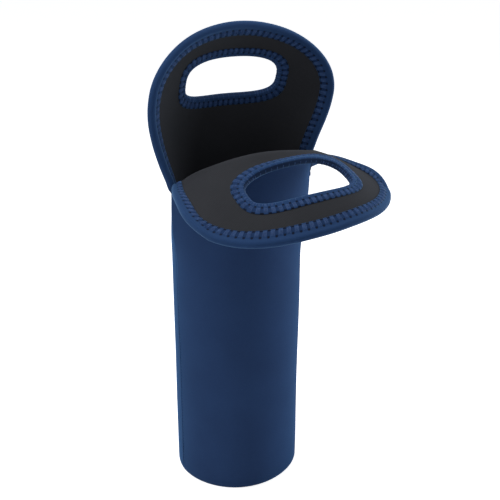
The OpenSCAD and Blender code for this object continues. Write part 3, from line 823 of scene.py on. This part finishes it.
def grip_binding(side):
    """Binding round a hand slot and the points of its sections."""
    profile = section(BAND_W, GRIP_LEG, GRIP_NOSE, GRIP_UNDER)
    at = np.arange(GRIP_TURNS) / GRIP_TURNS
    points = np.stack([wall_point(side, *slot_path(at, grow), depth) for grow, depth in profile], 1)
    # The middle of the nose is given 0, where the painted shade lies
    across = [ladder_row(grow) if abs(depth) > LADDER_DEPTH else 0.0 for grow, depth in profile]
    uv = section_uv(at * GRIP_COUNT * LADDER_PITCH, across)
    if side == REAR:
        points, uv = points[::-1], uv[::-1]
    return swept(SIDE_NAME[side] + "_grip_piping", points, uv, closed=True), points


for side in (FRONT, REAR):
    name = SIDE_NAME[side]
    ob, points = rim_binding(side)
    dress(ob, MAT_BIND, [name + "_rim_binding", name + "_fold_binding"], BLEND[side])
    ob, points = grip_binding(side)
    dress(ob, MAT_BIND, [name + "_grip_binding"], None, name + "_flap")

# Threads, as stations of (inset or growth, height over the skin)
THREAD_SIDES, TIP_SHARE, BAR = 5, 0.35, np.arange(-2, 3)
RIM_THREAD_R, RIM_BAR_GAP, THREAD_STEPS, THREAD_MARGIN = 0.27, 0.54, 900, 1.0
GRIP_THREAD_R, GRIP_BAR_GAP, GRIP_END_GAP, GRIP_END = 0.25, 0.48, 0.5, 27.0
RIM_BAR = ((5.3, 0.05), (5.9, 0.36), (7.1, 0.52), (8.4, 0.54), (9.4, 0.46), (10.1, 0.16))
GRIP_BAR = ((8.2, 0.16), (7.6, 0.46), (6.6, 0.54), (5.4, 0.52), (4.5, 0.36), (3.9, 0.05))
GRIP_TURN = ((3.8, 0.1), (3.0, 0.36), (2.0, 0.36), (0.9, 0.0))
# The turns cross the slot's edge a little inside the binding's nose
GRIP_EDGE, NOSE_REACH, NOSE_PROBE = -0.08, 1.5, 3.0


def tubes(name, bundles, radius):
    """One mesh of many thin threads; each bundle is (points, normals), both (threads, steps, 3)."""
    points, faces, base = [], [], 0
    turn = 2 * PI * np.arange(THREAD_SIDES) / THREAD_SIDES
    for path, normals in bundles:
        count, steps = path.shape[:2]
        along = unit(np.gradient(path, axis=1))
        across = unit(np.cross(along, normals))
        over = np.cross(across, along)
        r = np.full(steps, radius)
        r[[0, -1]] *= TIP_SHARE
        ring = np.cos(turn)[:, None] * across[:, :, None] + np.sin(turn)[:, None] * over[:, :, None]
        points.append((path[:, :, None] + r[None, :, None, None] * ring).reshape(-1, 3))
        for thread in range(count):
            start = base + thread * steps * THREAD_SIDES
            end = start + (steps - 1) * THREAD_SIDES
            for a in range(start, end, THREAD_SIDES):
                b = a + THREAD_SIDES
                for j in range(THREAD_SIDES):
                    k = (j + 1) % THREAD_SIDES
                    faces.append((a + j, a + k, b + k, b + j))
            faces.append(tuple(start + k for k in reversed(range(THREAD_SIDES))))
            faces.append(tuple(end + k for k in range(THREAD_SIDES)))
        base += count * steps * THREAD_SIDES
    return new_mesh(name, np.concatenate(points), faces)


def rim_threads(side):
    """Ladder of flat thread bundles over the legs of the rim binding, on both faces."""
    run = rim_run(side, *rim_curve(RIM_LINE, RIM_HEIGHTS, THREAD_STEPS))
    grid = np.arange(len(run))
    bars = np.arange(int(round((run[-1] - run[0] - RIM_END) / LADDER_PITCH)) + 1) * LADDER_PITCH
    at = (bars[:, None] + RIM_BAR_GAP * BAR).ravel()
    kept = (at > run[0] + THREAD_MARGIN) & (at < run[-1] - THREAD_MARGIN)
    place = np.interp(at[kept], run, grid)
    bundles = []
    for face in (-1, 1):
        path, normals = [], []
        for inset, up in RIM_BAR:
            s, t = [np.interp(place, grid, line) for line in rim_curve(inset, RIM_HEIGHTS, THREAD_STEPS)]
            path.append(wall_point(side, s, t, face * (SKIN + up)))
            normals.append(face * out_dir(side, s, t))
        bundles.append((np.stack(path, 1), np.stack(normals, 1)))
    return tubes(SIDE_NAME[side] + "_rim_threads", bundles, RIM_THREAD_R)


def grip_bundle(side, at, stations):
    """Threads over the slot's band at the shares at; stations are (growth, height over the skin, face)."""
    path, normals = [], []
    for grow, up, face in stations:
        s, t = slot_path(at, grow)
        path.append(wall_point(side, s, t, face * (SKIN + up)))
        if abs(grow) > NOSE_REACH:
            normals.append(face * out_dir(side, s, t))
        else:
            outside = wall_point(side, *slot_path(at, grow + NOSE_PROBE), 0.0)
            normals.append(unit(wall_point(side, s, t, 0.0) - outside))
    return np.stack(path, 1), np.stack(normals, 1)


def grip_threads(side):
    """Threads over the band of the hand slot: bars on its outer half, thin turns over its edge, closer
    together round its two ends."""
    turn = [(grow, up, 1) for grow, up in GRIP_TURN] + [(GRIP_EDGE, 0.0, 0)]
    turn += [(grow, up, -1) for grow, up in reversed(GRIP_TURN)]
    steps = np.arange(GRIP_COUNT) / GRIP_COUNT
    bars = (steps[:, None] + GRIP_BAR_GAP * BAR / GRIP_LENGTH).ravel()
    bundles = [grip_bundle(side, bars, [(grow, up, face) for grow, up in GRIP_BAR]) for face in (-1, 1)]
    ends = steps[np.abs(slot_path(steps, GRIP_LINE)[0]) > GRIP_END]
    extra = (ends[:, None] + GRIP_END_GAP * np.arange(-1, 2) / GRIP_LENGTH).ravel()
    bundles.append(grip_bundle(side, np.concatenate([steps + 0.5 / GRIP_COUNT, extra]), turn))
    return tubes(SIDE_NAME[side] + "_grip_threads", bundles, GRIP_THREAD_R)


for side in (FRONT, REAR):
    name = SIDE_NAME[side]
    dress(rim_threads(side), MAT_THREAD, [name + "_rim_stitching"], BLEND[side])
    dress(grip_threads(side), MAT_THREAD, [name + "_grip_stitching"], None, name + "_flap")

# Side seams: a fine flat zigzag in the groove
SEAM_FOOT, SEAM_TOP, SEAM_PITCH, SEAM_IN, SEAM_LIFT, SEAM_R = 1.0, -3.0, 1.3, 0.9, 0.02, 0.16
# Base seam: small stitches round the inside of the base
BASE_STITCHES, BASE_SEAM_IN, BASE_LIFT, STITCH_SHARE, BASE_SEAM_R = 90, 1.8, 0.15, 0.7, 0.25
BASE_ARCH = np.array([-0.1, 0.25, 0.32, 0.32, 0.25, -0.1])


def side_seam(hand):
    """Zigzag between the front and the rear panel."""
    heights = np.arange(HEEL_H - NOTCH_H + SEAM_FOOT, SEAM_TOP, SEAM_PITCH)
    s = np.full(len(heights), hand * (HALF_W - SEAM_IN))
    depth = HALF_T + seam_ridge(s, heights) + SEAM_LIFT
    odd = (np.arange(len(heights)) % 2 == 1)[:, None]
    path = np.where(odd, wall_point(FRONT, s, heights, depth), wall_point(REAR, s, heights, depth))
    normals = np.where(odd, out_dir(FRONT, s, heights), out_dir(REAR, s, heights))
    return tubes(HAND_NAME[hand] + "_seam_threads", [(path[None], normals[None])], SEAM_R)


def base_seam():
    """Ring of arched stitches near the edge of the base's lining."""
    along = np.linspace(0, STITCH_SHARE, len(BASE_ARCH))
    turns = (np.arange(BASE_STITCHES)[:, None] + along) / BASE_STITCHES * 2 * PI
    r = HEEL_C - BASE_SEAM_IN
    ring = np.stack([r * np.cos(turns), r * np.sin(turns), WALL + BASE_LIFT + BASE_ARCH + 0 * turns], -1)
    return tubes("base_seam_threads", [(ring, np.broadcast_to([0, 0, 1.0], ring.shape))], BASE_SEAM_R)


for hand in (LEFT, RIGHT):
    dress(side_seam(hand), MAT_SEAM, [HAND_NAME[hand] + "_side_seam"])
dress(base_seam(), MAT_THREAD, ["base_seam"])

# Camera, from the fit to the photograph's outline: degrees, metres, and a focal length in pixels
YAW, TILT, CAMERA_BACK, CAMERA_H, CAMERA_ASIDE = rad(28), rad(20.54), 0.65077, 0.42903, 0.01097
FOCAL, PHOTO_WIDTH, SENSOR = 895.26, 500, 36


def make_camera():
    look = Vector((math.sin(YAW) * math.cos(TILT), math.cos(YAW) * math.cos(TILT), -math.sin(TILT)))
    to_right = Vector((math.cos(YAW), -math.sin(YAW), 0))
    place = CAMERA_ASIDE * to_right - CAMERA_BACK * Vector((math.sin(YAW), math.cos(YAW), 0))
    place.z = CAMERA_H
    data = bpy.data.cameras.new("camera")
    data.sensor_width = SENSOR
    data.lens = FOCAL / PHOTO_WIDTH * SENSOR
    camera = bpy.data.objects.new("camera", data)
    turned = Matrix((to_right, to_right.cross(look), -look)).transposed().to_4x4()
    camera.matrix_world = Matrix.Translation(place) @ turned
    bpy.context.scene.collection.objects.link(camera)
    bpy.context.scene.camera = camera


# Floor, world and lights
FLOOR_HALF, FLOOR_SHADE, FLOOR_GLOW = 6, 0.9, 0.82
WORLD_LIGHT, WORLD_SEEN = (0.19, 0.2, 0.22, 1), (1, 1, 1, 1)
# Soft lights, in metres and watts: name, place, target, width, height, power and colour
LIGHTS = (
    ("top", (-0.2, 0.05, 1.3), (0, -0.05, 0.2), 0.9, 0.9, 11.0, (1, 1, 1)),
    ("left_back", (-0.9, 0.35, 0.45), (0, 0, 0.2), 0.3, 0.9, 2.3, (0.9, 0.95, 1)),
    ("right", (1.0, -0.2, 0.22), (0, 0, 0.2), 0.35, 0.8, 8.5, (0.88, 0.94, 1)),
    ("front", (-0.9, -1.1, 0.35), (0, 0, 0.18), 0.8, 0.8, 3.2, (1, 1, 1)),
)


def make_floor():
    """Pale floor, a little brighter to the camera than to the object."""
    m = Nodes("pale_floor")
    m.surface({"Base Color": (FLOOR_SHADE, FLOOR_SHADE, FLOOR_SHADE, 1), "Roughness": 0.9,
               "Specular IOR Level": 0.1})
    glow = m.add("Emission", Color=(1, 1, 1, 1))
    seen = m.add("LightPath").outputs["Is Camera Ray"]
    m.link(m.times(seen, FLOOR_GLOW), glow.inputs["Strength"])
    both = m.add("AddShader")
    m.link(m.bsdf.outputs[0], both.inputs[0])
    m.link(glow.outputs[0], both.inputs[1])
    m.link(both.outputs[0], m.tree.nodes["Material Output"].inputs["Surface"])
    mesh = bpy.data.meshes.new("floor")
    corners = [(x * FLOOR_HALF, y * FLOOR_HALF, 0) for x, y in ((-1, -1), (1, -1), (1, 1), (-1, 1))]
    mesh.from_pydata(corners, [], [(0, 1, 2, 3)])
    mesh.materials.append(m.mat)
    floor = bpy.data.objects.new("floor", mesh)
    bpy.context.scene.collection.objects.link(floor)


def make_world():
    """White to the camera, a dim cool light on the object."""
    world = bpy.data.worlds.new("studio")
    bpy.context.scene.world = world
    world.use_nodes = True
    tree = world.node_tree
    background = tree.nodes["Background"]
    path = tree.nodes.new("ShaderNodeLightPath")
    choice = tree.nodes.new("ShaderNodeMix")
    choice.data_type = "RGBA"
    choice.inputs["A"].default_value = WORLD_LIGHT
    choice.inputs["B"].default_value = WORLD_SEEN
    tree.links.new(path.outputs["Is Camera Ray"], choice.inputs["Factor"])
    tree.links.new(choice.outputs["Result"], background.inputs["Color"])
    background.inputs["Strength"].default_value = 1.0


def area_light(name, place, target, width, height, power, colour):
    """Rectangular soft light that faces its target."""
    data = bpy.data.lights.new(name, "AREA")
    data.energy = power
    data.color = colour
    data.shape = "RECTANGLE"
    data.size = width
    data.size_y = height
    light = bpy.data.objects.new(name, data)
    light.location = place
    light.rotation_euler = (Vector(target) - Vector(place)).to_track_quat("-Z", "Y").to_euler()
    bpy.context.scene.collection.objects.link(light)


make_camera()
make_floor()
make_world()
for light in LIGHTS:
    area_light(*light)

bpy.context.scene.view_settings.view_transform = "Standard"
